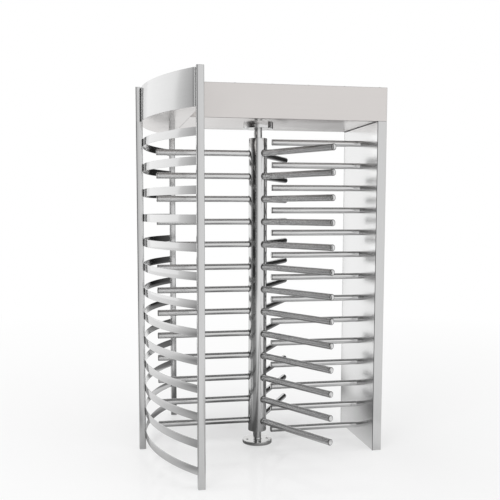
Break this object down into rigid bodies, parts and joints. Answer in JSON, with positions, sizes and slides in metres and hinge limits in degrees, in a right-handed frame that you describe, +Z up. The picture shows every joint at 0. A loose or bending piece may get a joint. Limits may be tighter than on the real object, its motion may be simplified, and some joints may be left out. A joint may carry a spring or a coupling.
{
  "type": "full height turnstile",
  "caption": "Full height turnstile: a bar rotor turns between a comb barrier on a side panel and a curved cage of guard bands, under a boxed header.",
  "frame": {"origin": "on the floor at the rotor's axis, at the centre of the floor flange's underside", "axes": "+Z up along the rotor's axis, +X from the rotor to the side panel, -Y to the entry side"},
  "size_m": [1.469, 1.504, 2.208],
  "materials": {
    "satin_stainless": "satin",
    "bright_stainless": "bright annealed",
    "polished_tube": "polished",
    "zinc_plated_steel": "zinc plated",
    "bearing_steel": "ground",
    "machined_steel": "machined",
    "damper_alloy": "anodised",
    "solenoid_case": "powder coated",
    "enclosure_plastic": "moulded"
  },
  "bodies": {
    "frame": {"front_post": "satin_stainless", "rear_post": "satin_stainless", "side_post": "satin_stainless", "post_caps": "satin_stainless", "post_feet": "zinc_plated_steel", "guard_bands": "bright_stainless", "canopy_fascia": "satin_stainless", "canopy_soffit": "satin_stainless", "canopy_roof": "satin_stainless", "canopy_bulkhead": "satin_stainless", "header_shell": "satin_stainless", "header_lid": "satin_stainless", "header_beams": "zinc_plated_steel", "side_panel_skin": "bright_stainless", "side_panel_cover": "satin_stainless", "side_panel_uprights": "zinc_plated_steel", "side_panel_top_rail": "zinc_plated_steel", "side_panel_foot": "zinc_plated_steel", "comb_rail": "zinc_plated_steel", "comb_bars": "polished_tube", "floor_flange": "polished_tube", "floor_stub": "polished_tube", "thrust_race_fixed": "bearing_steel", "thrust_rollers": "bearing_steel", "upper_housing": "polished_tube", "upper_bearing_outer_ring": "bearing_steel", "mechanism_plate": "zinc_plated_steel", "damper_body": "damper_alloy", "damper_bracket": "zinc_plated_steel", "pawl_pivots": "machined_steel", "entry_solenoid": "solenoid_case", "exit_solenoid": "solenoid_case", "solenoid_stands": "zinc_plated_steel", "position_sensor": "enclosure_plastic", "sensor_bracket": "zinc_plated_steel", "control_case": "enclosure_plastic", "power_supply": "enclosure_plastic"},
    "rotor": {"rotor_column": "polished_tube", "column_top_plate": "polished_tube", "column_bearing_hub": "polished_tube", "thrust_race_turning": "bearing_steel", "upper_shaft": "polished_tube", "shaft_key": "machined_steel", "shaft_spacer": "zinc_plated_steel", "shaft_nut": "zinc_plated_steel", "rotor_gear": "machined_steel", "index_wheel": "machined_steel", "upper_bearing_inner_ring": "bearing_steel", "wing_left_arms": "polished_tube", "wing_front_arms": "polished_tube", "wing_rear_arms": "polished_tube"},
    "damper_rotor": {"damper_pinion": "machined_steel", "damper_shaft": "machined_steel"},
    "entry_pawl": {"entry_pawl": "machined_steel"},
    "exit_pawl": {"exit_pawl": "machined_steel"},
    "entry_plunger": {"entry_plunger": "machined_steel"},
    "exit_plunger": {"exit_plunger": "machined_steel"}
  },
  "joints": [
    {"name": "rotor_spin", "type": "hinge", "parent": "frame", "child": "rotor", "pos_m": [0, 0, 0], "axis": [0, 0, 1], "continuous": true},
    {"name": "damper_spin", "type": "hinge", "parent": "frame", "child": "damper_rotor", "pos_m": [0.12, 0, 2.043], "axis": [0, 0, 1], "continuous": true},
    {"name": "entry_pawl_turn", "type": "hinge", "parent": "frame", "child": "entry_pawl", "pos_m": [-0.08, 0.104, 2.066], "axis": [0, 0, -1], "range_deg": [0, 8.5], "stiffness_Nm_per_rad": 1},
    {"name": "exit_pawl_turn", "type": "hinge", "parent": "frame", "child": "exit_pawl", "pos_m": [-0.08, -0.104, 2.066], "axis": [0, 0, 1], "range_deg": [0, 8.5], "stiffness_Nm_per_rad": 1},
    {"name": "entry_plunger_slide", "type": "slide", "parent": "frame", "child": "entry_plunger", "axis": [1, 0, 0], "range_m": [0, 0.0048]},
    {"name": "exit_plunger_slide", "type": "slide", "parent": "frame", "child": "exit_plunger", "axis": [1, 0, 0], "range_m": [0, 0.0048]}
  ],
  "couplings": [
    {"joint": "damper_spin", "follows": "rotor_spin", "ratio": -3},
    {"joint": "entry_plunger_slide", "follows": "entry_pawl_turn", "m_per_rad": 0.032},
    {"joint": "exit_plunger_slide", "follows": "exit_pawl_turn", "m_per_rad": 0.032}
  ]
}
